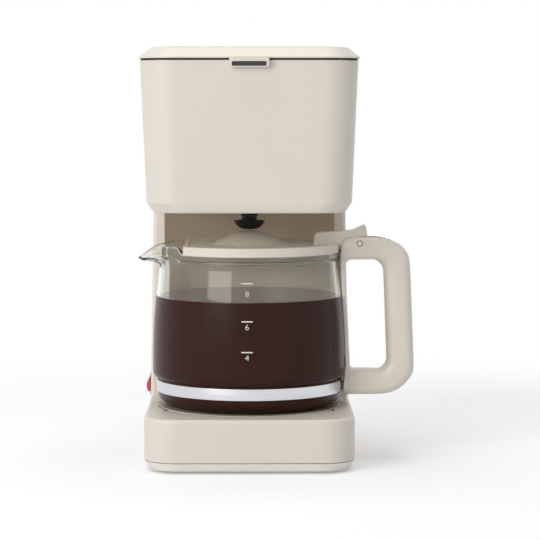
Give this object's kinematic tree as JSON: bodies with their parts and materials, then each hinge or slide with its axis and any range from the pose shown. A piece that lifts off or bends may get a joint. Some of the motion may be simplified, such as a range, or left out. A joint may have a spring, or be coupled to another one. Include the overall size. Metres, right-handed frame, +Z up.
{
  "type": "drip coffee maker",
  "caption": "Drip coffee maker with a rear tank, lift-out filter basket, drip-stop valve, warming plate, and a glass jug with a loop handle and hinged lid.",
  "frame": {"origin": "on the table, under the middle of the whole outline, jug handle and spout included", "axes": "+Z up, the front looks towards -Y, the jug's handle points to +X"},
  "size_m": [0.2032, 0.214, 0.3],
  "materials": {
    "casing": "satin",
    "cover": "matte",
    "rubber": "matte",
    "steel": "brushed",
    "plate_metal": "satin",
    "aluminium": "cast",
    "silicone": "matte",
    "inner_plastic": "matte",
    "black_plastic": "satin",
    "mesh": "fine mesh",
    "glass": "clear",
    "red_plastic": "gloss",
    "wire": "matte"
  },
  "bodies": {
    "machine": {"base_housing": "casing", "bottom_cover": "cover", "rubber_feet": "rubber", "cover_screws": "steel", "column_screws": "steel", "main_housing": "casing", "head_floor": "cover", "warming_plate": "plate_metal", "plate_seal": "silicone", "plate_studs": "aluminium", "heating_element": "aluminium", "heater_clamp": "steel", "clamp_screws": "steel", "thermostat": "aluminium", "thermal_fuse": "wire", "check_valve": "inner_plastic", "inlet_hose": "silicone", "riser_hose": "silicone", "hot_water_nozzle": "inner_plastic", "water_tank": "inner_plastic", "tank_strainer": "inner_plastic", "basket_well": "inner_plastic", "top_deck": "inner_plastic", "hinge_strip": "casing", "strip_seal": "rubber", "lid_hinge_pins": "steel", "switch_housing": "black_plastic", "cord_gland": "rubber", "wiring": "wire"},
    "top_lid": {"top_lid": "casing", "lid_seal": "rubber", "spray_head": "inner_plastic"},
    "filter_basket": {"filter_basket": "black_plastic", "valve_spring": "steel"},
    "mesh_filter": {"mesh_filter": "mesh"},
    "drip_valve": {"drip_valve": "black_plastic", "valve_seal": "rubber"},
    "jug": {"jug_glass": "glass", "jug_band": "steel", "rim_clip": "steel", "handle": "casing", "band_screw": "steel", "carafe_pin": "steel"},
    "jug_lid": {"carafe_lid": "casing"},
    "switch_rocker": {"switch_rocker": "red_plastic"}
  },
  "joints": [
    {"name": "top_lid_hinge", "type": "hinge", "parent": "machine", "child": "top_lid", "pos_m": [-0.01997, 0.085, 0.2969], "axis": [-1, 0, 0], "range_deg": [0, 98]},
    {"name": "basket_lift", "type": "slide", "parent": "machine", "child": "filter_basket", "axis": [0, 0, 1], "range_m": [0, 0.0805]},
    {"name": "mesh_filter_lift", "type": "slide", "parent": "filter_basket", "child": "mesh_filter", "axis": [0, 0, 1], "range_m": [0, 0.013]},
    {"name": "drip_valve_slide", "type": "slide", "parent": "filter_basket", "child": "drip_valve", "axis": [0, 0, 1], "range_m": [0, 0.004], "stiffness_N_per_m": 120, "springref_m": -0.004, "deforming": ["valve_spring"]},
    {"name": "jug_slide", "type": "slide", "parent": "machine", "child": "jug", "axis": [0, -1, 0], "range_m": [0, 0.33]},
    {"name": "jug_lid_hinge", "type": "hinge", "parent": "jug", "child": "jug_lid", "pos_m": [0.06053, -0.019, 0.1582], "axis": [0, 1, 0], "range_deg": [0, 85]},
    {"name": "switch_rocker_tilt", "type": "hinge", "parent": "machine", "child": "switch_rocker", "pos_m": [-0.08772, 0.039, 0.0474], "axis": [0, -1, 0], "range_deg": [0, 11]}
  ],
  "couplings": [
    {"joint": "basket_lift", "follows": "top_lid_hinge", "m_per_rad": 0.047},
    {"joint": "mesh_filter_lift", "follows": "top_lid_hinge", "m_per_rad": 0.0075},
    {"joint": "jug_lid_hinge", "follows": "jug_slide", "rad_per_m": 1.4}
  ]
}
